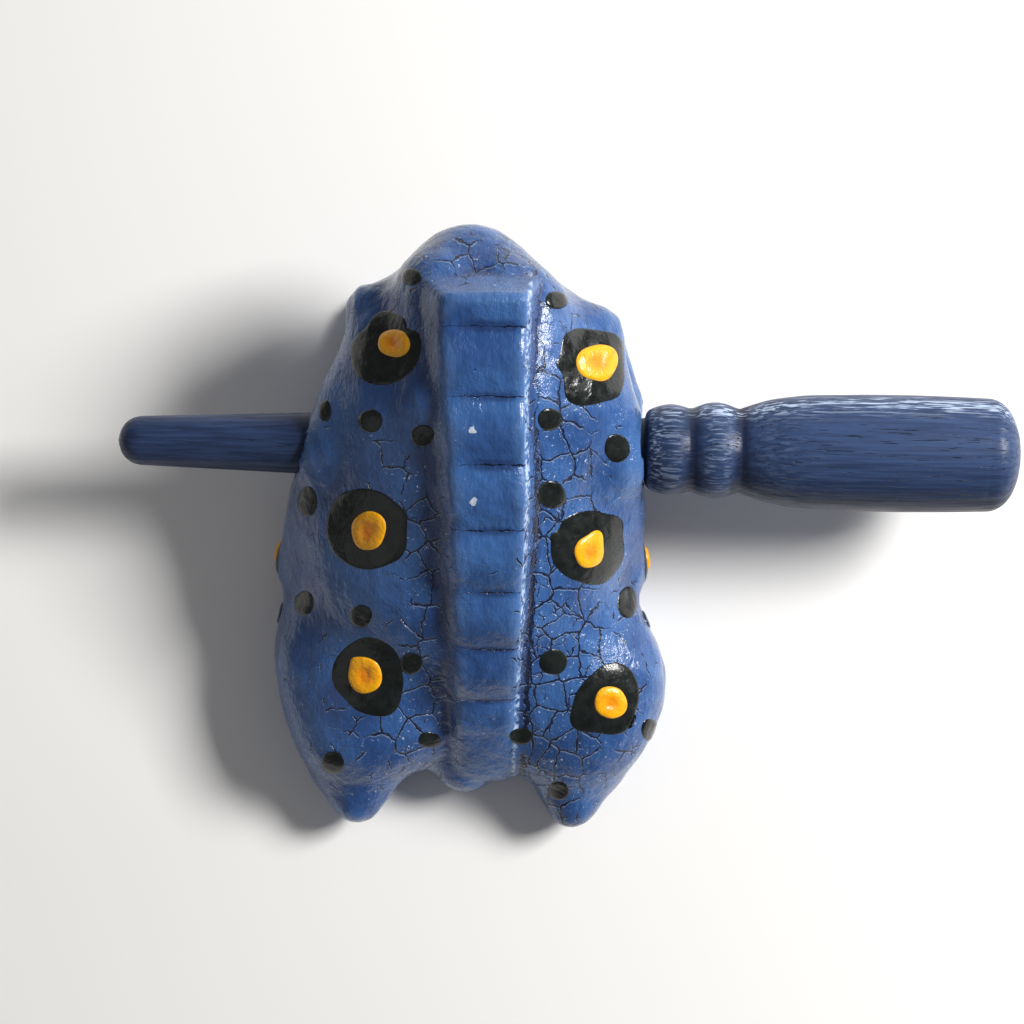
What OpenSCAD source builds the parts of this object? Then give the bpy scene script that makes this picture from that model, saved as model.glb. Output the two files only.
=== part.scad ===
// Small carved wooden frog rasp with its striker stick stored crosswise in the body.
// +Y points to the snout, +Z is up, and the flat belly rests on z = 0 under the origin.

/* [Frog] */
// Length from heels to snout
body_length = 80; // [77:1:82]
// Width across the haunches
body_width = 50; // [48:1:52]
// Height of the ridge at its front end
body_height = 38; // [37:1:40]

/* [Ridge] */
// Number of notches cut across the ridge
notch_count = 7; // [6:1:9]
// Depth of each notch below the tooth crests
notch_depth = 0.9; // [0.6:0.1:1.5]
// Width of the ridge at its front end
ridge_width = 11; // [10:0.2:12]

/* [Sound chamber] */
// Height of the chamber hollowed back from the mouth
chamber_height = 13; // [11:0.5:14]
// Width of the chamber
chamber_width = 23; // [20:0.5:25]
// Radius of the hole that stores the stick
hole_radius = 4.12; // [4.1:0.02:4.2]

/* [Stick] */
// Overall length of the stick
stick_length = 117; // [112:1:120]
// Largest radius of the handle
handle_radius = 7.6; // [7:0.1:8]
// Radius of the rounded tip
tip_radius = 3.2; // [3:0.1:3.5]

/* [Hidden] */

W = body_width;
L = body_length;
H = body_height;

FROG_BLUE = [0.28, 0.40, 0.66];
STICK_BLUE = [0.20, 0.29, 0.50];

// ---------- Carved form: masses and tapered limbs melted into one skin ----------
// Places and sizes are shares of the body's width, length and height. Every form stands on both sides.
function place(x, y, z) = [x * W, y * L, z * H];

// Each mass is [centre, radii].
MASSES = [
    [place(0, 0.050, 0.30), place(0.460, 0.340, 0.43)],     // trunk
    [place(0, -0.190, 0.17), place(0.440, 0.195, 0.22)],    // loins
    [place(0, 0.318, 0.64), place(0.198, 0.164, 0.23)],     // snout
    [place(0, 0.190, 0.54), place(0.320, 0.225, 0.31)],     // head
    [place(0.200, 0.225, 0.54), place(0.165, 0.145, 0.22)], // cheek
    [place(0, 0.205, 0.12), place(0.300, 0.190, 0.30)],     // throat
    [place(0.275, -0.255, 0.19), place(0.245, 0.185, 0.25)] // haunch
];
// Each limb is [start, end, start radius, end radius].
LIMBS = [
    [place(0.270, 0.305, 0.61), place(0.290, 0.331, 0.60), 0.076 * W, 0.064 * W],   // eye
    [place(0.085, 0.200, 0.74), place(0.090, 0.352, 0.735), 0.130 * W, 0.125 * W],  // brow
    [place(0.337, 0.190, 0.56), place(0.360, 0.110, 0.52), 0.078 * W, 0.092 * W],   // shoulder
    [place(0.366, 0.100, 0.46), place(0.425, -0.070, 0.21), 0.085 * W, 0.068 * W],  // upper arm
    [place(0.425, -0.070, 0.16), place(0.370, 0.235, 0.10), 0.066 * W, 0.056 * W],  // forearm
    [place(0.360, 0.225, 0.05), place(0.310, 0.345, 0.03), 0.070 * W, 0.060 * W],   // front foot
    [place(0.335, -0.340, 0.22), place(0.425, -0.230, 0.24), 0.120 * W, 0.085 * W], // thigh
    [place(0.420, -0.215, 0.15), place(0.345, -0.400, 0.12), 0.080 * W, 0.090 * W], // shank
    [place(0.303, -0.290, 0.16), place(0.288, -0.458, 0.13), 0.150 * W, 0.080 * W], // heel
    [place(0.330, -0.410, 0.05), place(0.440, -0.210, 0.04), 0.070 * W, 0.056 * W], // hind foot
    [place(0, -0.290, 0.15), place(0, -0.388, 0.12), 0.110 * W, 0.100 * W]          // tail
];
mass_blend = 6;
limb_blend = 2;
// The body was carved by eye, so its middle wanders: [share of the length, drift as a share of the width].
WANDER = [[-0.50, -0.038], [-0.28, -0.022], [-0.09, -0.056], [0.32, 0.004], [0.46, -0.030]];
head_lean = 0.07;                          // how much further back the head sits towards the right

function smooth(t) = let (c = max(0, min(1, t))) c * c * (3 - 2 * c);
function wander(y, i = 0) =
    let (a = WANDER[i], b = WANDER[i + 1])
    i == len(WANDER) - 2 || y < b[0] * L
        ? W * (a[1] + (b[1] - a[1]) * smooth((y / L - a[0]) / (b[0] - a[0]))) : wander(y, i + 1);

function smooth_min(a, b, k) = let (h = max(k - abs(a - b), 0) / k) min(a, b) - h * h * k / 4;

function mass(p, m) =
    let (q = p - m[0], r = m[1])
    let (near = norm([q.x / r.x, q.y / r.y, q.z / r.z]))
    let (steep = norm([q.x / (r.x * r.x), q.y / (r.y * r.y), q.z / (r.z * r.z)]))
    steep < 1e-6 ? -min(r) : near * (near - 1) / steep;

function limb(p, l) =
    let (run = l[1] - l[0], h = max(0, min(1, (p - l[0]) * run / (run * run))))
    norm(p - l[0] - h * run) - l[2] - h * (l[3] - l[2]);

function melt_masses(p, i = 0, d = 1e3) =
    i == len(MASSES) ? d : melt_masses(p, i + 1, smooth_min(d, mass(p, MASSES[i]), mass_blend));

function melt_limbs(p, i = 0, d = 1e3) =
    i == len(LIMBS) ? d : melt_limbs(p, i + 1, smooth_min(d, limb(p, LIMBS[i]), limb_blend));

// Signed distance to the carved skin without its ridge
function skin(p) =
    let (lean = head_lean * p.x * smooth(p.y / (0.3 * L)))
    let (q = [abs(p.x - wander(p.y)), p.y + lean, p.z])
    smooth_min(melt_masses(q), melt_limbs(q), limb_blend);

// ---------- Skin as the points where rays from the heart of the body leave it ----------
columns = 114;                             // rays round the side view, snout to back to tail to belly
rows = 47;                                 // rays from flank to flank
back_crowding = 10;                        // degrees by which the columns crowd towards the back
tail_crowding = 12;                        // degrees by which they crowd towards the tail
middle_crowding = 10;                      // degrees by which the rows crowd towards the middle
heart = place(0, -0.03, 0.40);
reach = 1.4 * L / 2;                       // start of every inward step, outside the frog

function unit(v) = v / norm(v);
function ray(column, row) =
    let (turn = 360 * column / columns, side = 2 * row / (rows + 1) - 1)
    let (round_x = turn + back_crowding * sin(turn) + tail_crowding * cos(turn))
    let (lean = 90 * side - middle_crowding * sin(180 * side))
    unit([W * sin(lean), -L * cos(lean) * sin(round_x), -H * cos(lean) * cos(round_x)]);

// Distance along a ray from the heart to the skin, found in steps from outside
function skin_reach(origin, along, far = reach, steps = 16) =
    steps == 0 ? far : skin_reach(origin, along, far - 0.95 * skin(origin + far * along), steps - 1);

module carved_skin() {
    grid = [
        for (row = [1 : rows], column = [0 : columns - 1])
            let (along = ray(column, row)) heart + skin_reach(heart, along) * along
    ];
    left = len(grid);
    right = left + 1;
    last = (rows - 1) * columns;
    flank_points = [for (along = [[-1, 0, 0], [1, 0, 0]]) heart + skin_reach(heart, along) * along];
    polyhedron(
        points = concat(grid, flank_points),
        faces = concat(
            [for (row = [0 : rows - 2], k = [0 : columns - 1])
                let (a = row * columns + k, b = row * columns + (k + 1) % columns)
                each [[a, b, b + columns], [a, b + columns, a + columns]]],
            [for (k = [0 : columns - 1]) [left, (k + 1) % columns, k]],
            [for (k = [0 : columns - 1]) [right, last + k, last + (k + 1) % columns]]
        )
    );
}

// ---------- Ridge: a toothed block whose crest follows an arc down to the tail ----------
crest_radius = 1.0625 * L;
crest_slope = [1, 50];                     // at the front and at the tail, in degrees
crest_centre = [0.361 * L + crest_radius * sin(crest_slope[0]), H - crest_radius * cos(crest_slope[0])];
ridge_depth = [5, 8];                      // depth of its foot at the ends and between them
ridge_taper = 0.35;                        // share of the width lost by the tail
ridge_flare = [0.50, 0.30];                // spread of its left and right side for every millimetre down
ridge_run_out = 0.5;                       // how much the front and the tail end spread
ridge_bevel = 0.5;                         // worn edges of the crest
ridge_sway = 0.018 * W;                    // drift to the right behind the head
toothed_share = 0.83;                      // the last stretch to the tail is plain
notch_steps = 8;                           // stations from one crest to the next
tail_steps = 6;                            // stations along the plain stretch

// One cross-section of the block; the end sections lean outwards at the foot.
// Its corners are listed as [place across, depth below the crest, slope].
function ridge_section(share) =
    let (slope = crest_slope[0] + (crest_slope[1] - crest_slope[0]) * share)
    let (end = share == 0 ? -1 : share > 0.999 ? 1 : 0)
    let (wave = abs(cos(180 * notch_count * min(share / toothed_share, 1))))
    let (notch = notch_depth * (1 - wave) + abs(end) * ridge_bevel)
    let (depth = ridge_depth[0] + (ridge_depth[1] - ridge_depth[0]) * smooth(6 * min(share, 1 - share)))
    let (foot_slope = slope + end * atan(ridge_run_out * depth / crest_radius))
    let (half = ridge_width / 2 * (1 - ridge_taper * share))
    let (foot = [for (flare = ridge_flare) half + flare * depth])
    let (middle = ridge_sway * smooth(1 - (crest_centre[0] - crest_radius * sin(slope)) / (0.3 * L)))
    [
        for (corner = [
            [-foot[0], depth, foot_slope],
            [-half, notch + ridge_bevel, slope],
            [ridge_bevel - half, notch, slope],
            [half - ridge_bevel, notch, slope],
            [half, notch + ridge_bevel, slope],
            [foot[1], depth, foot_slope]
        ])
            let (arm = crest_radius - corner[1])
            let (place_on_arc = crest_centre + arm * [-sin(corner[2]), cos(corner[2])])
            [middle + corner[0], place_on_arc[0], place_on_arc[1]]
    ];

module ridge() {
    toothed_steps = notch_count * notch_steps;
    shares = concat(
        [for (i = [0 : toothed_steps]) toothed_share * i / toothed_steps],
        [for (i = [1 : tail_steps]) toothed_share + (1 - toothed_share) * i / tail_steps]
    );
    stations = len(shares) - 1;
    points = [for (share = shares) each ridge_section(share)];
    end = 6 * stations;
    polyhedron(
        points = points,
        faces = concat(
            [[5, 4, 1, 0], [4, 3, 2, 1]],
            [[end, end + 1, end + 4, end + 5], [end + 1, end + 2, end + 3, end + 4]],
            [for (i = [0 : stations - 1], k = [0 : 5])
                let (a = 6 * i + k, b = 6 * i + (k + 1) % 6)
                each [[a, b, b + 6], [a, b + 6, a + 6]]]
        )
    );
}

// ---------- Hollows ----------
stick_y = 0.132 * L;
stick_z = 0.47 * H;
bead_radius = 5.9;
flank = skin_reach([0, stick_y, stick_z], [1, 0, 0]);     // half the body's width at the stick
chamber_back = place(0, -0.107, 0.43);
mouth_slit = 2.2;                                         // gap between the lips
mouth_corner = 0.29 * L;                                  // how far forward the slit ends on the cheeks
mouth_dip = 3;                                            // degrees by which the chamber falls to the mouth

module sound_chamber() {
    core_width = chamber_width - chamber_height;
    translate(chamber_back) rotate([-mouth_dip, 0, 0]) {
        rotate([-90, 0, 0]) linear_extrude(L) {
            square([core_width, chamber_height], center = true);
            for (side = [-1, 1]) translate([side * core_width / 2, 0]) circle(d = chamber_height, $fn = 48);
        }
        translate([-W, mouth_corner - chamber_back.y, chamber_height / 4]) cube([2 * W, L, mouth_slit]);
    }
}

module cross_bore(from, radius) {
    translate([from, stick_y, stick_z]) rotate([0, 90, 0]) cylinder(r = radius, h = 2 * W, $fn = 64);
}

module stick_hole() {
    cross_bore(-W, hole_radius);
    cross_bore(flank, bead_radius + 0.5);                 // spot face where the first bead stops
}

module body() {
    color(FROG_BLUE)
    difference() {
        union() {
            carved_skin();
            ridge();
        }
        translate([-L, -L, -2 * L]) cube(2 * L);
        sound_chamber();
        stick_hole();
    }
}

// ---------- Stick: one turned profile of [distance from the first bead, radius] ----------
rod_radius = hole_radius - 0.07;
stop_gap = 0.1;
rod_length = 0.585 * stick_length;
bead_length = 0.052 * stick_length;
handle_length = stick_length - rod_length - 2 * bead_length;
butt_length = 0.5 * handle_radius;
taper_end = -2 * flank;                    // the rod has its full radius from the left flank onwards

// A swelling between two radii, with its crown in the middle
function swell(from, to, start_radius, end_radius, crown, steps = 10) = [
    for (i = [0 : steps])
        let (u = i / steps)
        [from + (to - from) * u, start_radius + (end_radius - start_radius) * u + crown * sin(180 * u)]
];
// A quarter round from the axis up to a radius, or back down when flipped
function dome(at, length, radius, flip = false, steps = 10) = [
    for (i = [0 : steps - 1])
        let (a = 90 * (flip ? steps - 1 - i : i) / steps)
        [at + (flip ? 1 : -1) * length * cos(a), radius * sin(a)]
];

STICK_PROFILE = concat(
    dome(-rod_length + tip_radius, tip_radius, tip_radius),
    [[-rod_length + tip_radius, tip_radius], [taper_end, rod_radius], [0, rod_radius]],
    swell(0, bead_length, 0.84 * bead_radius, 0.88 * bead_radius, 0.14 * bead_radius),
    swell(bead_length, 2 * bead_length, 0.92 * bead_radius, 0.90 * bead_radius, 0.15 * bead_radius),
    swell(2 * bead_length, 2 * bead_length + 0.24 * handle_length,
        0.92 * bead_radius, 0.97 * handle_radius, 0.4),
    swell(2 * bead_length + 0.26 * handle_length, stick_length - rod_length - butt_length,
        0.975 * handle_radius, 0.965 * handle_radius, 0.03 * handle_radius),
    dome(stick_length - rod_length - butt_length, butt_length, 0.955 * handle_radius, flip = true)
);

module stick() {
    color(STICK_BLUE)
    translate([flank + stop_gap, stick_y, stick_z]) rotate([0, 90, 0])
        rotate_extrude($fn = 96) polygon([for (p = STICK_PROFILE) [p[1], p[0]]]);
}

body();
stick();
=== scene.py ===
"""Looks of a small carved, painted wooden frog rasp and its turned stick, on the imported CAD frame.

Everything is in metres, in the CAD frame: +Y to the snout, +Z up, +X to the stick's handle.
"""

import math

import bpy
import numpy as np
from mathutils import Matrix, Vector, noise
from mathutils.bvhtree import BVHTree


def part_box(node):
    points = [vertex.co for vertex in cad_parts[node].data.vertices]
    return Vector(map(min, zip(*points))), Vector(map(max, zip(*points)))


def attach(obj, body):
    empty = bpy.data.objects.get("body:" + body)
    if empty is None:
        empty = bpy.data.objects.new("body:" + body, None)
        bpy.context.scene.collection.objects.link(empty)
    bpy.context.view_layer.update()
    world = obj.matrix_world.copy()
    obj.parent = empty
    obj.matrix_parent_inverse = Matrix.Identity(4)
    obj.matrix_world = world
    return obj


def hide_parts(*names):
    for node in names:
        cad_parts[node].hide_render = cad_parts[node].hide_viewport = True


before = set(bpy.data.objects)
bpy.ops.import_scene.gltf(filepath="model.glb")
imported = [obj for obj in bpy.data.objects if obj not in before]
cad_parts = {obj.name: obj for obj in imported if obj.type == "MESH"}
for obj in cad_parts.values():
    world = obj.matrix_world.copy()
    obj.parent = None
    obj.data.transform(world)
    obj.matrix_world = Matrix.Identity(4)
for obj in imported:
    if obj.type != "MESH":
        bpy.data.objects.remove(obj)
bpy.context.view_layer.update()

MM = 0.001
BODY_LOW, BODY_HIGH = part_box("body")
STICK_LOW, STICK_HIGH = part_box("stick")
STICK_AXIS = (STICK_LOW + STICK_HIGH) / 2           # a point on the stick's axis, which runs along X

# The viewpoint looks straight down on the back, from above the plane that holds the stick's axis
EYE = Vector((3.9 * MM, 2.1 * MM, STICK_AXIS.z + 300 * MM))
VIEW_WIDTH = 133 * MM                               # what the view takes in at the stick's height
VIEW_TURN = math.radians(1.0)


# ---------------------------------------------------------------- meshes


def link_mesh(name, points, faces):
    """A new smooth-shaded mesh object."""
    mesh = bpy.data.meshes.new(name)
    mesh.from_pydata([tuple(p) for p in points], [], faces)
    mesh.polygons.foreach_set("use_smooth", [True] * len(mesh.polygons))
    mesh.validate()
    mesh.update()
    piece = bpy.data.objects.new(name, mesh)
    bpy.context.scene.collection.objects.link(piece)
    return piece


def vertex_array(mesh):
    points = np.empty(len(mesh.vertices) * 3)
    mesh.vertices.foreach_get("co", points)
    return points.reshape(-1, 3)


def set_vertices(mesh, points):
    mesh.vertices.foreach_set("co", points.ravel())
    mesh.update()


def vertex_normals(mesh):
    normals = np.empty(len(mesh.vertices) * 3)
    mesh.vertex_normals.foreach_get("vector", normals)
    return normals.reshape(-1, 3)


def neighbour_mean(points, edges, degree):
    total = np.zeros_like(points)
    np.add.at(total, edges[:, 0], points[edges[:, 1]])
    np.add.at(total, edges[:, 1], points[edges[:, 0]])
    return total / degree[:, None]


def relax(points, edges, weight, passes):
    """Smooths points along edges. Each pass shrinks and swells back, so the form keeps its size."""
    degree = np.bincount(edges.ravel(), minlength=len(points)).astype(float)
    for _ in range(passes):
        for push in (0.55, -0.57):
            points = points + push * weight[:, None] * (neighbour_mean(points, edges, degree) - points)
    return points


def melt(points, edges, weight, passes):
    """Smooths points along edges and lets them shrink."""
    degree = np.bincount(edges.ravel(), minlength=len(points)).astype(float)
    for _ in range(passes):
        points = points + weight[:, None] * (neighbour_mean(points, edges, degree) - points)
    return points


def edge_array(mesh):
    edges = np.empty(len(mesh.edges) * 2, dtype=np.int64)
    mesh.edges.foreach_get("vertices", edges)
    return edges.reshape(-1, 2)


def smoothstep(low, high, value):
    share = np.clip((value - low) / (high - low), 0, 1)
    return share * share * (3 - 2 * share)


def store(mesh, name, values):
    """Keeps one number per vertex for the materials to read."""
    attribute = mesh.attributes.new(name, "FLOAT", "POINT")
    attribute.data.foreach_set("value", values.astype(np.float32))


def noise_at(points, size, seed=0.0):
    """Smooth noise from -1 to 1 over features of the given size in metres."""
    shift = Vector((seed * 7.3, seed * 3.1, seed * 5.7))
    return np.array([noise.noise(Vector(p) / size + shift) for p in points])


# ---------------------------------------------------------------- material building


VARNISH_IOR = 1.38


class Paint:
    """Shorthand for building one procedural material."""

    def __init__(self, name):
        self.material = bpy.data.materials.new(name)
        self.material.use_nodes = True
        self.nodes = self.material.node_tree.nodes
        self.links = self.material.node_tree.links
        self.surface = self.nodes["Principled BSDF"]

    def feed(self, socket, value):
        """Links a socket's output to an input, or sets the input to a plain value."""
        if isinstance(value, bpy.types.NodeSocket):
            self.links.new(value, socket)
        elif socket.type == "RGBA":
            socket.default_value = (*value, 1)
        else:
            socket.default_value = value

    def node(self, kind, output=0, settings=None, **inputs):
        """One output of a new node. An input is named, or numbered as _0, _1 and so on."""
        made = self.nodes.new(kind)
        for key, value in (settings or {}).items():
            setattr(made, key, value)
        for key, value in inputs.items():
            self.feed(made.inputs[int(key[1:]) if key[0] == "_" else key.replace("_", " ")], value)
        return made.outputs[output]

    def math(self, operation, a, b=0.0, c=0.0, settings=None):
        settings = {"operation": operation, **(settings or {})}
        return self.node("ShaderNodeMath", settings=settings, _0=a, _1=b, _2=c)

    def mix(self, share, a, b):
        """Colour b laid over colour a by share."""
        made = self.nodes.new("ShaderNodeMix")
        made.data_type = "RGBA"
        self.feed(made.inputs["Factor"], share)
        self.feed(made.inputs[6], a)
        self.feed(made.inputs[7], b)
        return made.outputs[2]

    def step(self, value, low, high, start=0.0, end=1.0):
        """A smooth climb from start to end as value goes from low to high."""
        return self.node(
            "ShaderNodeMapRange",
            settings={"interpolation_type": "SMOOTHSTEP"},
            Value=value, From_Min=low, From_Max=high, To_Min=start, To_Max=end,
        )

    def vector_math(self, operation, a, b):
        return self.node("ShaderNodeVectorMath", settings={"operation": operation}, _0=a, _1=b)

    def millimetres(self, stretch=(1, 1, 1)):
        """Object coordinates in millimetres, times stretch along each axis."""
        place = self.node("ShaderNodeTexCoord", output=3)
        return self.vector_math("MULTIPLY", place, tuple(share / MM for share in stretch))

    def noise(self, place, scale, detail=3.0, roughness=0.55, output=0):
        """Noise from 0 to 1, or its colour as output 1, over features of about 1 / scale millimetres."""
        return self.node(
            "ShaderNodeTexNoise", output=output, Vector=place, Scale=scale, Detail=detail, Roughness=roughness
        )

    def axes(self, vector):
        """The three parts of a vector."""
        made = self.nodes.new("ShaderNodeSeparateXYZ")
        self.feed(made.inputs[0], vector)
        return made.outputs[:]

    def warped(self, place, scale, amount, detail=2):
        """place pushed about by noise."""
        push = self.noise(place, scale, detail=detail, output=1)
        centred = self.vector_math("SUBTRACT", push, (0.5, 0.5, 0.5))
        scaled = self.vector_math("MULTIPLY", centred, (amount, amount, amount))
        return self.vector_math("ADD", place, scaled)

    def edge_distance(self, place, scale):
        """Distance to the border of the nearest flat cell, in millimetres."""
        settings = {"feature": "DISTANCE_TO_EDGE", "voronoi_dimensions": "2D"}
        distance = self.node("ShaderNodeTexVoronoi", settings=settings, Vector=place, Scale=scale)
        return self.math("DIVIDE", distance, scale)

    def attribute(self, name):
        return self.node("ShaderNodeAttribute", output=2, settings={"attribute_name": name})

    def bump(self, height, distance, strength):
        """A bump whose height input of 1 stands the given distance in millimetres proud."""
        return self.node("ShaderNodeBump", Height=height, Distance=distance * MM, Strength=strength)

    def finish(self, colour, roughness, normal=None, coat=0.0, coat_roughness=0.1, specular=0.5):
        """The material, with its surface set. Varnish is the coat, and follows the same relief."""
        self.feed(self.surface.inputs["Base Color"], colour)
        self.feed(self.surface.inputs["Roughness"], roughness)
        self.surface.inputs["Specular IOR Level"].default_value = specular
        self.surface.inputs["Coat Weight"].default_value = coat
        self.surface.inputs["Coat IOR"].default_value = VARNISH_IOR
        self.surface.inputs["Coat Roughness"].default_value = coat_roughness
        if normal is not None:
            self.links.new(normal, self.surface.inputs["Normal"])
            self.links.new(normal, self.surface.inputs["Coat Normal"])
        return self.material


def shade(red, green, blue):
    """A display colour, 0 to 255 a channel, as the linear colour that shaders use."""
    return tuple(
        c / 255 / 12.92 if c <= 10 else ((c / 255 + 0.055) / 1.055) ** 2.4 for c in (red, green, blue)
    )


# ---------------------------------------------------------------- materials


FLANK_SHIFT = 60        # millimetres that part the cells of the flanks from those of the back


def crack_lines(p, place, crazing):
    """Shares of a broken network of dark paint cracks: large cells, and small ones where crazing is strong.

    The cells are flat, and lie in the plane that the skin faces: the back's, a flank's or the face's.
    """
    x, y, z = p.axes(p.warped(p.warped(place, 0.30, 1.6), 1.3, 0.5, detail=1))
    sideways = p.step(p.attribute("sideways"), 0.74, 0.76)
    flank_across = p.math("ADD", y, FLANK_SHIFT)
    across = p.math("MULTIPLY_ADD", sideways, p.math("SUBTRACT", flank_across, x), x)
    upright = p.step(p.attribute("upright"), 0.74, 0.76)
    along = p.math("MULTIPLY_ADD", upright, p.math("SUBTRACT", z, y), y)
    flat = p.node("ShaderNodeCombineXYZ", X=across, Y=along)
    patchy = p.noise(place, 0.33, detail=2)
    lines = []
    for cells, widest, rarity in ((0.30, 0.16, 0.66), (0.52, 0.12, 1.00)):
        present = p.step(p.math("MULTIPLY_ADD", crazing, 0.5, patchy), rarity, rarity + 0.14)
        width = p.math("MULTIPLY_ADD", present, widest, 0.0001)
        lines.append(p.step(p.math("DIVIDE", p.edge_distance(flat, cells), width), 1.0, 0.45))
    return p.math("MAXIMUM", *lines)


def ridge_lines(p, place):
    """Shares of the dark creases along the notches and of the heavy crack down the ridge's right foot."""
    beyond_edge = p.attribute("beyond_edge")
    along = p.axes(place)[1]
    jag = p.math("SUBTRACT", p.noise(place, 1.1, detail=3), 0.5)
    notch = p.math("ABSOLUTE", p.math("MULTIPLY_ADD", jag, 0.7, p.attribute("notch")))
    crease_width = p.step(p.noise(place, 0.5, detail=2), 0.36, 0.60, 0.02, 0.15)
    crease_width = p.math("MULTIPLY", crease_width, p.step(beyond_edge, -8.5, -4.5, 0.35, 1.0))
    crease = p.step(p.math("DIVIDE", notch, p.math("ADD", crease_width, 0.001)), 1.0, 0.3)
    foot = p.math("ABSOLUTE", p.math("MULTIPLY_ADD", jag, 1.6, p.math("SUBTRACT", beyond_edge, 1.3)))
    foot_width = p.step(p.noise(place, 0.30, detail=2), 0.32, 0.44, 0.03, 0.46)
    foot_width = p.math("MULTIPLY", foot_width, p.step(along, 16.0, -2.0, 0.15, 1.0))
    foot_crack = p.step(p.math("DIVIDE", foot, p.math("ADD", foot_width, 0.001)), 1.0, 0.5)
    return p.math("MAXIMUM", crease, foot_crack)


def frog_paint():
    """Thick crazed blue paint under varnish, with painted shade in hollows and painted light on crests,
    painted highlights beside the cracks and along the ridge's right edge, painted glints, and bare wood
    inside.
    """
    p = Paint("frog_paint")
    place = p.millimetres()
    painted_light_and_shade = p.attribute("painted_light_and_shade")
    bare = p.attribute("bare")
    crazing = p.attribute("crazing")

    # Cracks, each with a raised rim on its tail side, painted pale as a highlight
    network = crack_lines(p, place, crazing)
    tailward = p.vector_math("ADD", place, (0.05, 0.20, 0.05))
    lit_lip = p.math("SUBTRACT", crack_lines(p, tailward, crazing), network, settings={"use_clamp": True})
    crack = p.math("MAXIMUM", network, ridge_lines(p, place))

    # Painted highlight: a pale broken streak along the ridge's right edge
    edge = p.math("ABSOLUTE", p.math("SUBTRACT", p.attribute("beyond_edge"), 0.15))
    worn = p.math("MULTIPLY", p.step(edge, 0.42, 0.12), p.step(p.noise(place, 1.3, detail=4), 0.42, 0.60))
    near_chip = p.math("MULTIPLY", p.attribute("chip"), 0.6)
    chipped = p.math("MULTIPLY_ADD", p.noise(place, 1.4, detail=3), 0.5, near_chip)

    # Colour: two blues, dry strokes, painted shade in hollows and painted light on crests, painted highlights
    # beside the cracks and along the ridge's right edge, pale chips, painted glints and dark cracks
    blue = p.mix(p.step(p.noise(place, 0.11), 0.35, 0.65), shade(40, 74, 129), shade(57, 98, 157))
    strokes = p.noise(p.millimetres((2.6, 0.22, 0.9)), 1.0, detail=4, roughness=0.7)
    blue = p.mix(p.step(strokes, 0.54, 0.72, 0.0, 0.22), blue, shade(92, 126, 178))
    blue = p.mix(p.step(strokes, 0.46, 0.30, 0.0, 0.30), blue, shade(30, 50, 94))
    # Painted shade in hollows, on the ridge's left slope and on the snout
    blue = p.mix(p.step(painted_light_and_shade, 0.05, 0.9, 0.0, 0.60), blue, shade(22, 38, 80))
    # Painted light on crests
    blue = p.mix(p.step(painted_light_and_shade, -0.1, -0.9, 0.0, 0.30), blue, shade(98, 134, 186))
    # Painted highlight on the raised rim beside each crack
    blue = p.mix(p.math("MULTIPLY", lit_lip, 0.50), blue, shade(122, 154, 200))
    # Painted highlight along the ridge's right edge
    blue = p.mix(p.math("MULTIPLY", worn, 0.85), blue, shade(184, 206, 236))
    # Pale marks: chips in the paint, and scattered marks painted as glints
    chips_and_glints = p.step(p.noise(place, 0.9, detail=5, roughness=0.75), 0.74, 0.76)
    chips_and_glints = p.math("MAXIMUM", chips_and_glints, p.step(chipped, 0.68, 0.72))
    # Painted glints: white marks where the paint is crazed
    painted_glints = p.step(p.noise(place, 1.7, detail=5, roughness=0.7), 0.63, 0.66)
    glint_patch = p.math("MULTIPLY_ADD", crazing, 0.5, p.noise(place, 0.2))
    painted_glints = p.math("MULTIPLY", painted_glints, p.step(glint_patch, 0.56, 0.78))
    chips_and_glints = p.math("MAXIMUM", chips_and_glints, painted_glints)
    blue = p.mix(p.math("MULTIPLY", chips_and_glints, 0.85), blue, shade(206, 214, 226))
    blue = p.mix(p.math("MULTIPLY", crack, 0.93), blue, shade(10, 18, 46))
    grain = p.noise(p.millimetres((1.4, 0.12, 1.4)), 1.0, detail=5)
    wood = p.mix(grain, shade(150, 112, 74), shade(196, 158, 112))
    colour = p.mix(bare, blue, wood)

    # Relief: sunken cracks, raised lips, pulled paint, fine wrinkles
    wrinkle = p.noise(p.millimetres((1.9, 0.8, 1.9)), 1.0, detail=4, roughness=0.6)
    pulled = p.noise(place, 0.45, detail=2)
    crinkled = p.step(p.noise(place, 0.22, detail=2), 0.44, 0.62)
    crinkle = p.math("MULTIPLY", crinkled, p.noise(place, 2.4, detail=3, roughness=0.65))
    relief = p.math("MULTIPLY_ADD", crinkle, 0.55, p.math("MULTIPLY", wrinkle, 0.5))
    relief = p.math("MULTIPLY_ADD", lit_lip, 0.5, relief)
    relief = p.math("MULTIPLY_ADD", pulled, 0.9, relief)
    relief = p.math("SUBTRACT", relief, crack)
    normal = p.bump(relief, 0.24, 0.9)
    shine = p.math("ADD", p.step(wrinkle, 0.3, 0.7, 0.20, 0.36), p.math("MULTIPLY", bare, 0.45))
    return p.finish(colour, shine, normal, coat=0.7, coat_roughness=0.08, specular=0.3)


def spot_paint(name, deep, pale, glint_colour, glint_share):
    """A raised dab of gloss paint with slow colour drift, brush ridges and small pale marks painted as
    glints.
    """
    p = Paint(name)
    place = p.millimetres()
    colour = p.mix(p.step(p.noise(place, 0.5), 0.32, 0.68), deep, pale)
    # Painted glints: small pale marks
    glints = p.step(p.noise(place, 1.6, detail=4, roughness=0.7), 0.70, 0.74, 0.0, glint_share)
    colour = p.mix(glints, colour, glint_colour)
    relief = p.noise(p.warped(place, 0.6, 1.0), 0.7, detail=3)
    shine = p.step(p.noise(place, 0.8), 0.3, 0.7, 0.16, 0.34)
    return p.finish(colour, shine, p.bump(relief, 0.18, 0.8), coat=0.3, specular=0.35)


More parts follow.
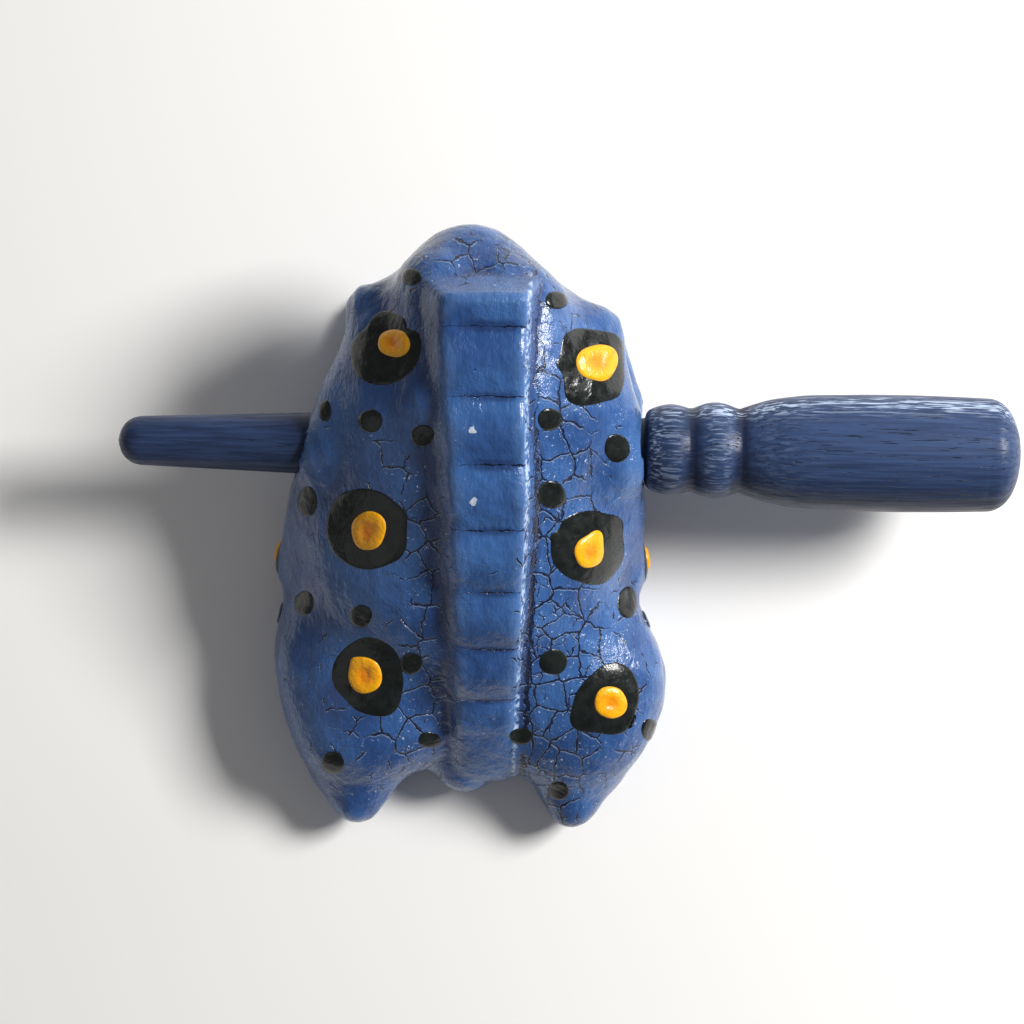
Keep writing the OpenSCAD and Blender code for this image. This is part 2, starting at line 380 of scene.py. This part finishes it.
def orange_paint():
    """Thick orange-yellow dots: deeper in the middle, paler at the rim."""
    p = Paint("orange_paint")
    place = p.millimetres()
    rim = p.attribute("rim")
    colour = p.mix(p.step(rim, 0.05, 0.75), shade(238, 138, 0), shade(250, 174, 2))
    colour = p.mix(p.step(rim, 0.82, 1.0, 0.0, 0.5), colour, shade(255, 188, 30))
    colour = p.mix(p.step(p.noise(place, 0.9), 0.55, 0.72, 0.0, 0.5), colour, shade(226, 120, 0))
    relief = p.noise(p.warped(place, 0.8, 1.0), 0.9, detail=3)
    return p.finish(colour, 0.32, p.bump(relief, 0.22, 0.9), coat=0.15)


def stick_paint():
    """Thin navy stain on turned wood: dark open pores along the stick, pale wear on proud edges, a painted
    highlight along the handle's upper front, painted shade on its far side, darker grooves, and a dry bloom.
    """
    p = Paint("stick_paint")
    worn = p.attribute("worn")
    sunk = p.attribute("sunk")
    fibres = p.noise(p.millimetres((0.10, 2.0, 2.0)), 1.0, detail=4, roughness=0.55)
    pores = p.step(p.noise(p.millimetres((0.22, 4.4, 4.4)), 1.0, detail=2), 0.62, 0.70)
    on_handle = p.attribute("handle")
    dark = p.mix(on_handle, shade(31, 44, 72), shade(40, 56, 90))
    light = p.mix(on_handle, shade(48, 64, 98), shade(56, 76, 114))
    blue = p.mix(p.step(fibres, 0.30, 0.70), dark, light)
    pore_share = p.math("MULTIPLY_ADD", on_handle, 0.45, 0.2)
    blue = p.mix(p.math("MULTIPLY", pores, pore_share), blue, shade(14, 19, 38))
    # Painted shade on the handle's far side; grooves darker too
    blue = p.mix(p.math("MULTIPLY", sunk, 0.8), blue, shade(18, 25, 48))
    scratches = p.step(p.noise(p.millimetres((0.24, 3.0, 3.0)), 1.0, detail=4), 0.48, 0.62)
    worn_share = p.math("MULTIPLY", worn, p.math("MULTIPLY", scratches, 0.6))
    # Pale streaks: wear on proud edges, and a painted highlight along the handle's upper front
    blue = p.mix(worn_share, blue, shade(176, 194, 222))
    relief = p.math("SUBTRACT", p.math("MULTIPLY", fibres, 0.7), p.math("MULTIPLY", pores, 0.8))
    shine = p.step(fibres, 0.3, 0.7, 0.46, 0.32)
    return p.finish(blue, shine, p.bump(relief, 0.14, 0.8), specular=0.25)


def plain_floor():
    """Matt off-white board."""
    p = Paint("floor")
    drift = p.noise(p.millimetres(), 0.004)
    return p.finish(p.mix(drift, shade(242, 241, 239), shade(248, 247, 245)), 0.8)


# ---------------------------------------------------------------- carved body

VOXEL = 0.42 * MM
BODY_LENGTH = 80 * MM
BODY_HEIGHT = 38 * MM
CHAMBER_BACK = Vector((0, -0.107 * BODY_LENGTH, 0.43 * BODY_HEIGHT))    # middle of the chamber's back wall
CHAMBER_WIDTH = 23 * MM
CHAMBER_HEIGHT = 13 * MM
CHAMBER_DIP = math.radians(3)

# The ridge, as in the CAD: its crest follows an arc about a point below the back, from head to tail
CREST_RADIUS = 85 * MM
CREST_SLOPE = (math.radians(1), math.radians(50))   # at its front and at the tail
CREST_CENTRE = (0.361 * BODY_LENGTH + CREST_RADIUS * math.sin(CREST_SLOPE[0]),
                BODY_HEIGHT - CREST_RADIUS * math.cos(CREST_SLOPE[0]))
TOOTHED_SHARE = 0.83                                # of the crest, from its front
NOTCHES = 7
RIDGE_HALF_WIDTH = 5.5 * MM
RIDGE_TAPER = 0.35
RIDGE_SWAY = 0.9 * MM
CHIPS = ((-1.1, 12.1), (-0.8, 3.3))                 # millimetres along X and Y to chips in the ridge's paint
FAR = 50 * MM                                       # stands for a place well away from the ridge
HOLE_CLEARANCE = 4.35 * MM                          # least radius of the painted stick hole


def remeshed_copy(node, name):
    """An evenly meshed copy of a CAD node."""
    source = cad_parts[node]
    piece = bpy.data.objects.new(name, source.data.copy())
    piece.data.materials.clear()
    bpy.context.scene.collection.objects.link(piece)
    remesh = piece.modifiers.new("remesh", "REMESH")
    remesh.mode = "VOXEL"
    remesh.voxel_size = VOXEL
    remesh.use_smooth_shade = True
    evaluated = piece.evaluated_get(bpy.context.evaluated_depsgraph_get())
    piece.data = bpy.data.meshes.new_from_object(evaluated)
    piece.modifiers.clear()
    return piece


def carve_body():
    """The frog: the CAD form with its facets softened, thick paint over it and room round the stick."""
    piece = remeshed_copy("body", "frog_carving")
    mesh = piece.data
    points = vertex_array(mesh)
    edges = edge_array(mesh)

    across, half_width, depth, notch = ridge_place(points)
    right_wall = 1 - smoothstep(half_width + 1.5 * MM, half_width + 3 * MM, across)
    left_wall = 1 - smoothstep(half_width - 0.2 * MM, half_width + 0.6 * MM, -across)
    ahead_of_tail = smoothstep(-30 * MM, -24 * MM, points[:, 1])
    on_back = smoothstep(0.25, 0.45, points[:, 2] / BODY_HIGH.z) * ahead_of_tail
    # The ridge keeps its edges, the rest loses its facets, and the tail and the ridge's left slope melt
    points = relax(points, edges, 1 - 0.80 * right_wall * left_wall * on_back, 24)
    left_slope = smoothstep(0.1 * half_width, -half_width, across)
    left_slope = left_slope * smoothstep(8 * MM, 3 * MM, -across - half_width)
    points = melt(points, edges, 0.5 * np.maximum(1 - ahead_of_tail, left_slope * on_back), 22)
    set_vertices(mesh, points)

    # Painted shade in hollows and painted light on crests, from how far the skin stands from its own average
    broad = melt(points, edges, np.full(len(points), 0.5), 14)
    normals = vertex_normals(mesh)
    painted_light_and_shade = np.einsum("ij,ij->i", broad - points, normals) / (0.10 * MM)

    # Hand-carved unevenness and paint that has pulled into soft ripples
    inside = inside_share(points)
    outside = 1 - inside
    uneven = 0.16 * noise_at(points, 7 * MM, 1) + 0.06 * noise_at(points * (1, 0.45, 1), 1.6 * MM, 2)
    points = points + normals * (uneven * MM * outside)[:, None]

    points = clear_stick(points)
    points = np.clip(points, np.array(BODY_LOW), np.array(BODY_HIGH))
    set_vertices(mesh, points)

    # What the materials read at each vertex
    # Painted shadow on the ridge's left slope
    beside_ridge = 0.5 * left_slope * (1 - left_wall) * on_back
    # Painted shade on the snout
    snout = 0.45 * np.exp(-(points[:, 0] / (13 * MM)) ** 2 - ((points[:, 1] - 36 * MM) / (5 * MM)) ** 2)
    # Painted light and shade: hollows darker, crests lighter, plus the painted shadow and shade above
    store(mesh, "painted_light_and_shade", (painted_light_and_shade * ahead_of_tail + beside_ridge + snout) * outside)
    store(mesh, "bare", inside)
    store(mesh, "crazing", crazing_share(points))
    near_crest = (depth > -1 * MM) & (depth < 6 * MM)
    store(mesh, "beyond_edge", np.where(near_crest, across - half_width, FAR) / MM)
    store(mesh, "notch", np.where(depth < 2.2 * MM, notch, FAR) / MM)
    facing = np.abs(vertex_normals(mesh))
    store(mesh, "sideways", facing[:, 0])
    store(mesh, "upright", np.maximum(facing[:, 0], facing[:, 1]))
    from_chips = [np.hypot(points[:, 0] / MM - x, points[:, 1] / MM - y) for x, y in CHIPS]
    store(mesh, "chip", np.exp(-(np.minimum(*from_chips) / 0.9) ** 2) * on_back)
    mesh.polygons.foreach_set("use_smooth", [True] * len(mesh.polygons))
    mesh.materials.append(frog_paint())
    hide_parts("body")
    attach(piece, "frog")
    return piece


def ridge_place(points):
    """Where points lie on the ridge: place across, half width, depth below the crest, distance to a notch."""
    arm = points[:, 1:] - np.array(CREST_CENTRE)
    slope = np.arctan2(-arm[:, 0], arm[:, 1])
    share = (slope - CREST_SLOPE[0]) / (CREST_SLOPE[1] - CREST_SLOPE[0])
    half_width = RIDGE_HALF_WIDTH * (1 - RIDGE_TAPER * np.clip(share, 0, 1))
    across = points[:, 0] - RIDGE_SWAY * smoothstep(0, 1, 1 - points[:, 1] / (24 * MM))
    depth = CREST_RADIUS - np.linalg.norm(arm, axis=1)
    tooth = share / TOOTHED_SHARE * NOTCHES
    tooth_run = CREST_RADIUS * (CREST_SLOPE[1] - CREST_SLOPE[0]) * TOOTHED_SHARE / NOTCHES
    toothed = (share > 0) & (share < TOOTHED_SHARE) & (np.abs(across) < half_width)
    notch = np.where(toothed, (tooth % 1 - 0.5) * tooth_run, FAR)
    return across, half_width, depth, notch


def inside_share(points):
    """1 inside the sound chamber, 0 on the painted outside."""
    x, y, z = points[:, 0], points[:, 1], points[:, 2]
    centre_height = CHAMBER_BACK.z - math.tan(CHAMBER_DIP) * (y - CHAMBER_BACK.y)
    beyond_core = np.maximum(np.abs(x) - (CHAMBER_WIDTH - CHAMBER_HEIGHT) / 2, 0)
    from_core = np.hypot(beyond_core, z - centre_height)
    in_bore = 1 - smoothstep(CHAMBER_HEIGHT / 2 + 0.1 * MM, CHAMBER_HEIGHT / 2 + 0.6 * MM, from_core)
    behind_lips = 1 - smoothstep(26 * MM, 30 * MM, y)
    before_back = smoothstep(CHAMBER_BACK.y - 1 * MM, CHAMBER_BACK.y - 0.3 * MM, y)
    return in_bore * behind_lips * before_back


def clear_stick(points):
    """Pushes the wall of the stick hole outwards, so the uneven paint never touches the rod."""
    axis = np.array((STICK_AXIS.y, STICK_AXIS.z))
    arm = points[:, 1:] - axis
    distance = np.linalg.norm(arm, axis=1)
    scale = np.where(distance < HOLE_CLEARANCE, HOLE_CLEARANCE / np.maximum(distance, 1e-6), 1.0)
    moved = points.copy()
    moved[:, 1:] = axis + arm * scale[:, None]
    return moved


def crazing_share(points):
    """How strongly the paint is crazed: most right of the ridge, at the snout and over the right haunch."""
    x, y = points[:, 0] / MM, points[:, 1] / MM
    beside_ridge = 0.75 * np.exp(-((x - 10) / 4.5) ** 2) * smoothstep(30, 20, y)
    right_haunch = 0.80 * np.exp(-((x - 12) / 9) ** 2 - ((y + 20) / 14) ** 2)
    snout = 0.70 * np.exp(-(x / 11) ** 2 - ((y - 33) / 5) ** 2)
    left_mid = 0.40 * np.exp(-((x + 11) / 6) ** 2 - ((y - 4) / 8) ** 2)
    left_foot = 0.55 * np.exp(-((x + 7) / 3.5) ** 2) * smoothstep(8, 0, y)
    left_tail = 0.40 * np.exp(-((x + 13) / 8) ** 2 - ((y + 26) / 10) ** 2)
    ridge_top = np.exp(-(x / 5) ** 6) * smoothstep(33, 28, y)
    total = 0.06 + beside_ridge + right_haunch + snout + left_mid + left_foot + left_tail
    return np.clip(total * (1 - 0.8 * ridge_top), 0, 1)


# ---------------------------------------------------------------- painted spots

# Rosettes as the view sees them, in millimetres from the ridge's front at the stick's height:
# centre, half width and height, squareness, bulges as (direction in degrees, share, spread in degrees),
# then the dot's offset, half width and height, and bulges
ROSETTES = [
    ((-12.9, 23.1), (4.9, 4.85), 0.0, ((43, -0.20, 10), (136, -0.20, 26), (92, 0.04, 14), (222, 0.08, 28)),
     (1.2, 0.6), (2.1, 1.9), ()),
    ((14.0, 21.0), (4.5, 5.1), 0.95, ((175, 0.16, 9), (205, -0.12, 20), (-55, -0.10, 30)),
     (0.5, 0.7), (2.7, 2.4), ((40, 0.08, 25), (-70, 0.08, 25))),
    ((-15.0, -0.5), (5.3, 5.5), 0.08, ((20, 0.12, 18), (-30, 0.08, 20), (150, 0.05, 40)),
     (0.4, -0.1), (2.3, 2.6), ()),
    ((13.8, -2.35), (4.9, 5.1), 0.0, ((40, 0.22, 16), (-64, 0.05, 20), (163, 0.10, 7), (150, -0.08, 10)),
     (0.1, -0.6), (2.0, 2.0), ((66, 0.60, 24),)),
    ((-14.4, -19.7), (4.9, 5.1), 0.05, ((100, 0.10, 30), (-52, 0.17, 26), (222, -0.15, 26), (15, -0.07, 20)),
     (-0.4, 0.3), (2.3, 2.4), ((130, 0.14, 16),)),
    ((16.6, -22.1), (4.4, 4.4), 0.05, ((68, 0.20, 32), (217, 0.32, 24), (-60, 0.14, 28), (140, -0.12, 28)),
     (0.5, -0.3), (2.15, 2.15), ()),
]
# Small dots the same way: centre, half width and height
DOTS = [
    ((-9.7, 32.4), (1.4, 1.15)), ((9.2, 29.7), (1.55, 1.2)), ((-20.6, 14.8), (0.8, 1.5)),
    ((-14.7, 13.6), (1.65, 1.6)), ((-7.9, 11.8), (1.55, 1.5)), ((8.6, 14.2), (1.7, 1.5)),
    ((17.4, 10.6), (1.75, 1.9)), ((9.0, 4.4), (1.95, 1.9)), ((-22.7, 3.0), (1.3, 2.1)),
    ((-22.9, -10.2), (1.3, 1.7)), ((-15.5, -11.8), (1.55, 1.55)), ((-8.8, -17.8), (1.55, 1.45)),
    ((-6.3, -27.7), (1.55, 1.05)), ((-18.8, -30.9), (1.55, 1.55)), ((19.1, -9.4), (1.3, 2.2)),
    ((9.6, -17.3), (1.9, 1.75)), ((5.6, -27.0), (1.6, 1.1)), ((22.3, -25.9), (1.2, 1.5)),
    ((10.6, -34.0), (1.4, 1.25)),
]
# Spots on both flanks, in millimetres of the frame: place along Y and Z, radius, and the rosette's dot radius
FLANK_ROSETTE = ((-3.8, 6.0), 3.6, 1.6)
FLANK_DOTS = [((-12.0, 7.5), 1.5), ((5.5, 6.0), 1.4), ((-21.0, 4.5), 1.5), ((18.0, 9.0), 1.3)]
# Millimetres: how proud the films of paint stand, how deep they are sunk, and the dip left by the brush
GROUND_RISE = 0.16
CENTRE_RISE = 0.36
FLANK_CENTRE_RISE = 0.5
DOT_RISE = 0.18
FLANK_DOT_RISE = 0.24
SINK = 0.22
ON_GROUND = 0.13
DIMPLE = 0.20
FOOT_TOP = 6 * MM                                   # no spot reaches down to the feet


class Skin:
    """The painted surface that spots are laid on."""

    def __init__(self, piece):
        mesh = piece.data
        points = vertex_array(mesh)
        edges = edge_array(mesh)
        points = relax(points, edges, np.ones(len(points)), 2)
        polygons = [tuple(polygon.vertices) for polygon in mesh.polygons]
        self.tree = BVHTree.FromPolygons([Vector(p) for p in points], polygons)

    def under_view(self, x, y):
        """Where the line of sight through (x, y) at the stick's height meets the skin, and its normal.

        A line that passes the flank or only meets a foot takes the nearest skin at the stick's height.
        """
        aim = Vector((x * MM, y * MM, STICK_AXIS.z))
        direction = (aim - EYE).normalized()
        place, normal, _, _ = self.tree.ray_cast(EYE, direction)
        if place is None or place.z < FOOT_TOP:
            return self.nearest(aim)
        return place, normal

    def on_flank(self, y, z, side):
        """Where a level line from outside the flank meets the skin."""
        return self.tree.ray_cast(Vector((side * 40, y, z)) * MM, Vector((-side, 0, 0)))[0]

    def nearest(self, point):
        return self.tree.find_nearest(point)[:2]


def outline_radius(angle, wobble, seed, squareness, bulges):
    """Radius of a hand-painted outline, about 1: a circle or rounded square with slow lobes and bulges."""
    lobes = sum(wobble / k * math.sin(k * angle + 2.1 * seed * k + seed) for k in (2, 3, 5))
    for direction, amount, spread in bulges:
        away = (math.degrees(angle) - direction + 180) % 360 - 180
        lobes += amount * math.exp(-((away / spread) ** 2))
    corner = 1 / (abs(math.cos(angle)) ** 4 + abs(math.sin(angle)) ** 4) ** 0.25
    return (1 + squareness * (corner - 1)) * (1 + lobes)


def dab(find, size, squareness, seed, wobble, thickness, bulges=(), base=0.0, dimple=0.0):
    """Points, faces and rim shares of one closed dab of paint. find(x, y) gives the skin at an offset."""
    rings = 12
    spokes = 56
    points, shares = [], []
    for layer in (1, -1):
        for ring in range(rings + 1):
            share = ring / rings
            for spoke in range(1 if ring == 0 else spokes):
                angle = 2 * math.pi * spoke / spokes
                radius = share * outline_radius(angle, wobble, seed, squareness, bulges)
                place, normal = find(size[0] * radius * math.cos(angle), size[1] * radius * math.sin(angle))
                rise = base + thickness * (1 - share ** 5) ** 0.5 - 0.06 * share ** 5
                dip = math.exp(-(share / 0.34) ** 2) - 0.5 * math.exp(-(share / 0.12) ** 2)
                top = rise - dimple * dip
                points.append(place + normal * ((top if layer == 1 else base * 0.2 - SINK) * MM))
                shares.append(share)
    count = 1 + rings * spokes
    faces = []
    for layer in (0, 1):
        start = layer * count
        for spoke in range(spokes):
            after = (spoke + 1) % spokes
            first = (start, start + 1 + spoke, start + 1 + after)
            faces.append(first if layer == 0 else first[::-1])
            for ring in range(rings - 1):
                inner = start + 1 + ring * spokes
                outer = inner + spokes
                quad = (inner + spoke, outer + spoke, outer + after, inner + after)
                faces.append(quad if layer == 0 else quad[::-1])
    rim = 1 + (rings - 1) * spokes
    for spoke in range(spokes):
        after = (spoke + 1) % spokes
        faces.append((rim + spoke, count + rim + spoke, count + rim + after, rim + after))
    return points, faces, shares


def paint_piece(name, dabs, material):
    """One piece made of several dabs, riding on the frog."""
    points, faces, shares = [], [], []
    for dab_points, dab_faces, dab_shares in dabs:
        start = len(points)
        points += dab_points
        faces += [tuple(start + corner for corner in face) for face in dab_faces]
        shares += dab_shares
    piece = link_mesh(name, points, faces)
    store(piece.data, "rim", np.array(shares))
    piece.data.materials.append(material)
    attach(piece, "frog")
    return piece


def paint_spots(skin):
    """Black rosettes with orange dots, and small black dots."""

    def above(at, offset=(0, 0)):
        return lambda x, y: skin.under_view(at[0] + offset[0] + x, at[1] + offset[1] + y)

    def beside(at, side):
        middle = skin.on_flank(*at, side)
        return lambda x, y: skin.nearest(middle + Vector((0, x, y)) * MM)

    grounds, centres, dots = [], [], []
    for number, (at, size, squareness, bulges, offset, dot_size, dot_bulges) in enumerate(ROSETTES):
        grounds.append(dab(above(at), size, squareness, number + 1, 0.05, GROUND_RISE, bulges))
        centre = above(at, offset)
        centres.append(
            dab(centre, dot_size, 0.1, number + 4, 0.06, CENTRE_RISE, dot_bulges, ON_GROUND, DIMPLE)
        )
    for number, (at, size) in enumerate(DOTS):
        dots.append(dab(above(at), size, 0.05, number + 2, 0.05, DOT_RISE))
    for side in (-1, 1):
        at, radius, dot_radius = FLANK_ROSETTE
        centre = beside(at, side)
        grounds.append(dab(centre, (radius, radius), 0.1, side + 3, 0.08, GROUND_RISE))
        centres.append(
            dab(centre, (dot_radius, dot_radius), 0, side + 5, 0.06, FLANK_CENTRE_RISE, (), ON_GROUND, DIMPLE)
        )
        for number, (at, radius) in enumerate(FLANK_DOTS):
            dots.append(dab(beside(at, side), (radius, radius), 0.05, number + side, 0.08, FLANK_DOT_RISE))
    black = spot_paint("black_paint", shade(15, 18, 18), shade(27, 33, 32), shade(120, 132, 134), 0.35)
    orange = orange_paint()
    paint_piece("rosette_grounds", grounds, black)
    paint_piece("rosette_dots", centres, orange)
    paint_piece("small_dots", dots, black)


# ---------------------------------------------------------------- turned stick


def stick_profile(stations):
    """Radius of the CAD stick at each station along X. A thinner stretch runs right up to a step."""
    points = vertex_array(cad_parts["stick"].data)
    radius = np.hypot(points[:, 1] - STICK_AXIS.y, points[:, 2] - STICK_AXIS.z)
    places = np.round(points[:, 0], 6)
    rings = np.unique(places)
    most = np.array([radius[places == ring].max() for ring in rings])
    least = np.array([radius[places == ring].min() for ring in rings])
    before = most.copy()
    rod_goes_on = np.abs(least[1:] - most[:-1]) < np.abs(most[1:] - most[:-1])
    before[1:] = np.where(rod_goes_on, least[1:], most[1:])
    hair = 0.001 * MM
    ring_sides = np.stack((rings - hair, rings + hair), axis=1).ravel()
    return np.interp(stations, ring_sides, np.stack((before, most), axis=1).ravel())


def turn_stick():
    """The stick as a fine lathe form, with open grain along it and softly worn beads."""
    spokes = 160
    stations = np.linspace(STICK_LOW.x, STICK_HIGH.x, 520)
    last = (len(stations) - 1) * spokes
    radius = stick_profile(stations)
    smooth = radius.copy()
    for _ in range(3):
        smooth[1:-1] = (smooth[:-2] + 2 * smooth[1:-1] + smooth[2:]) / 4
    radius = np.minimum(radius, smooth)
    angles = np.arange(spokes) * 2 * math.pi / spokes
    x = np.repeat(stations, spokes)
    turn = np.tile(angles, len(stations))
    size = np.repeat(radius, spokes)
    handle = smoothstep(STICK_HIGH.x - 50 * MM, STICK_HIGH.x - 38 * MM, x)
    around = np.stack((x / 11, 3.2 * MM * np.cos(turn), 3.2 * MM * np.sin(turn)), axis=1)
    grain = np.clip(noise_at(around, 0.55 * MM, 3) - 0.05, 0, 1) * (0.02 + 0.10 * handle) * MM
    size = np.maximum(size - grain, 0.02 * MM)
    y = STICK_AXIS.y + size * np.cos(turn)
    z = STICK_AXIS.z + size * np.sin(turn)
    points = list(np.stack((x, y, z), axis=1))
    faces = []
    for station in range(len(stations) - 1):
        for spoke in range(spokes):
            after = (spoke + 1) % spokes
            low = station * spokes
            high = low + spokes
            faces.append((low + spoke, low + after, high + after, high + spoke))
    tip = len(points)
    points.append((stations[0], STICK_AXIS.y, STICK_AXIS.z))
    points.append((stations[-1], STICK_AXIS.y, STICK_AXIS.z))
    for spoke in range(spokes):
        after = (spoke + 1) % spokes
        faces.append((tip, after, spoke))
        faces.append((tip + 1, last + spoke, last + after))
    piece = link_mesh("turned_stick", points, faces)

    # Wear where it stands proud, a painted highlight along the handle's upper front, painted shade on the far
    # side and darker grooves
    reach = 9                                       # stations on either side that wear is judged against
    window = 2 * reach + 1
    wide = np.convolve(np.pad(radius, reach, mode="edge"), np.ones(window) / window, mode="valid")
    proud = np.repeat((radius - wide) / (0.25 * MM), spokes)
    inner = np.repeat(np.minimum(stations - stations[0], stations[-1] - stations) > 5 * MM, spokes)
    # Painted highlight along the handle's upper front
    upper_front = np.exp(-(((turn - math.radians(33)) / math.radians(12)) ** 2)) * handle
    # Painted shade on the handle's far side
    shaded_side = np.exp(-(((turn - math.radians(160)) / math.radians(34)) ** 2)) * handle
    proud = proud * inner
    ends = (0.0, 0.0)
    store(piece.data, "handle", np.concatenate((handle, (0.0, 1.0))))
    store(piece.data, "worn", np.concatenate((np.clip(0.8 * proud + 2.4 * upper_front, 0, 2.4), ends)))
    store(piece.data, "sunk", np.concatenate((np.clip(0.85 * shaded_side - proud, 0, 1), ends)))
    piece.data.materials.append(stick_paint())
    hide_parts("stick")
    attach(piece, "stick")
    return piece


# ---------------------------------------------------------------- floor, light, camera


def lay_floor():
    half = 3.0
    corners = [(-half, -half, 0), (half, -half, 0), (half, half, 0), (-half, half, 0)]
    floor = link_mesh("floor", corners, [(0, 1, 2, 3)])
    floor.data.materials.append(plain_floor())


def soft_light(name, place, size, power, colour=(1, 1, 1)):
    """A rectangular lamp turned towards the frog."""
    light = bpy.data.lights.new(name, "AREA")
    light.shape = "RECTANGLE"
    light.size, light.size_y = size
    light.energy = power
    light.color = colour
    lamp = bpy.data.objects.new(name, light)
    lamp.location = place
    lamp.rotation_euler = (Vector((0, 0, 0.02)) - Vector(place)).to_track_quat("-Z", "Y").to_euler()
    bpy.context.scene.collection.objects.link(lamp)


def light_studio():
    """A window to the right, a thin strip before the snout and a faint fill, in a dim even room."""
    world = bpy.data.worlds.new("studio")
    world.use_nodes = True
    world.node_tree.nodes["Background"].inputs["Color"].default_value = (0.96, 0.97, 1.0, 1)
    world.node_tree.nodes["Background"].inputs["Strength"].default_value = 0.15
    bpy.context.scene.world = world
    soft_light("window", (0.43, 0.17, 0.38), (0.20, 0.16), 5.1, (1.0, 0.99, 0.97))
    soft_light("front", (0.15, 0.55, 0.18), (0.45, 0.05), 0.34)
    soft_light("fill", (-0.50, -0.30, 0.40), (0.5, 0.5), 0.25, (1.0, 0.95, 0.95))


def place_camera():
    """A camera at the eye, looking straight down."""
    camera = bpy.data.cameras.new("camera")
    view = bpy.data.objects.new("camera", camera)
    height = EYE.z - STICK_AXIS.z
    camera.lens = camera.sensor_width * height / VIEW_WIDTH
    camera.clip_start = 0.01
    view.location = EYE
    view.rotation_euler = (0, 0, VIEW_TURN)
    bpy.context.scene.collection.objects.link(view)
    bpy.context.scene.camera = view


carving = carve_body()
paint_spots(Skin(carving))
turn_stick()
lay_floor()
light_studio()
place_camera()
bpy.context.scene.view_settings.view_transform = "Standard"
